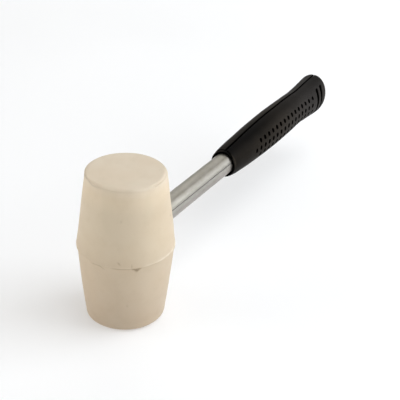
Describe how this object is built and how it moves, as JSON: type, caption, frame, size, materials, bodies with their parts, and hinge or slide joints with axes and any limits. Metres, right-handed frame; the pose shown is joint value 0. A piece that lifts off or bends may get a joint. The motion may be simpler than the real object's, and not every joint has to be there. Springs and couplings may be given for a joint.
{
  "type": "rubber mallet",
  "caption": "Rubber mallet with a barrel-shaped two-faced head, a round steel tube handle and a dimpled moulded rubber grip.",
  "frame": {"origin": "centre of the head's lower striking face", "axes": "+Z along the head's axis to the upper striking face, +X along the handle from the head to the butt"},
  "size_m": [0.3265, 0.066, 0.108],
  "materials": {
    "head_rubber": "matt, buff-coloured moulded rubber",
    "tube_steel": "bright plated steel, lightly satin",
    "plug_wood": "bare turned hardwood",
    "plug_plastic": "moulded",
    "grip_rubber": "matt black moulded rubber"
  },
  "bodies": {
    "root": {"rubber_head": "head_rubber", "handle_tube": "tube_steel", "head_plug": "plug_wood", "butt_plug": "plug_plastic", "grip_sleeve": "grip_rubber"}
  },
  "joints": []
}
